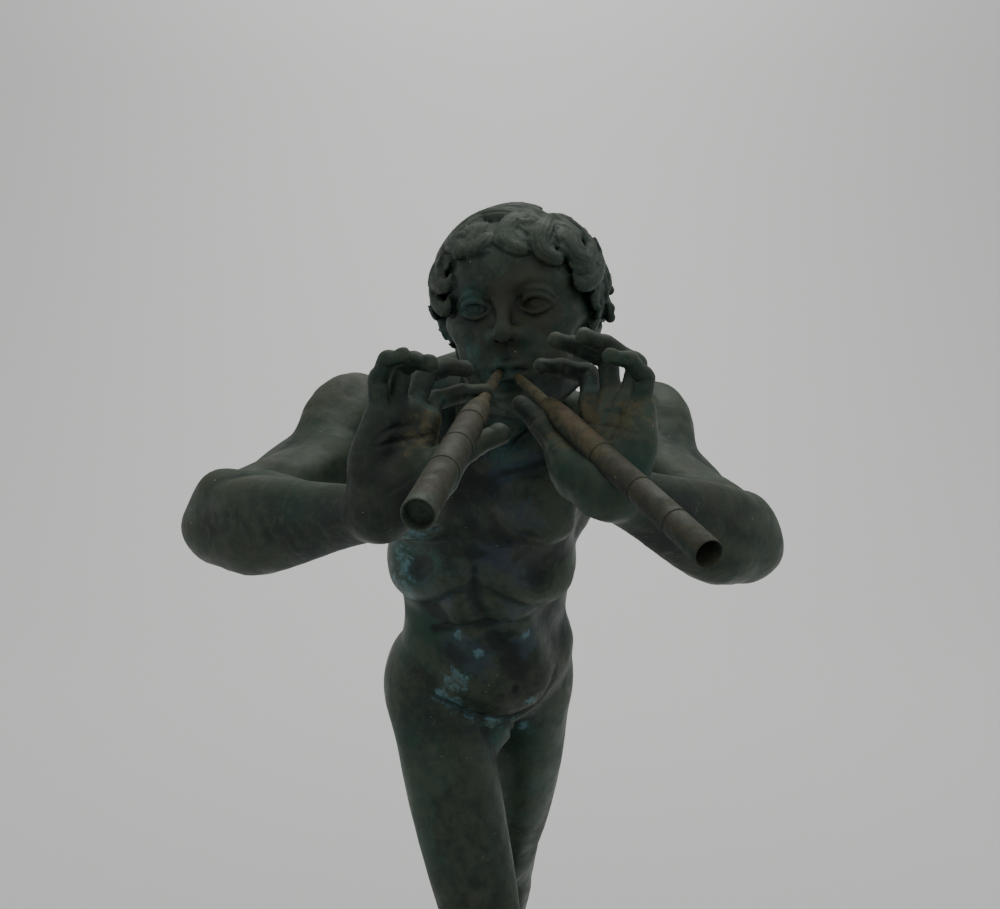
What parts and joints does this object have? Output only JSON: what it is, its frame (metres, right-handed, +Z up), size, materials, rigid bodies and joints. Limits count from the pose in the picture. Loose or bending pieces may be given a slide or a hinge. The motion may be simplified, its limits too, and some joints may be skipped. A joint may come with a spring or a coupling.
{
  "type": "pan statue",
  "caption": "Life-size cast bronze Pan striding forward and blowing two pipes that spread from the mouth, on a low ground plate.",
  "frame": {"origin": "middle of the underside of the ground plate", "axes": "+X to the figure's left, -Y to its front, +Z up"},
  "size_m": [0.6074, 1.3537, 1.5342],
  "materials": {
    "bronze": "weathered bronze, dark green patina",
    "pipe_bronze": "weathered bronze, brown and dusty",
    "base_bronze": "weathered bronze, dark green patina"
  },
  "bodies": {
    "root": {"figure": "bronze", "pipe_right": "pipe_bronze", "pipe_left": "pipe_bronze", "base": "base_bronze"}
  },
  "joints": []
}
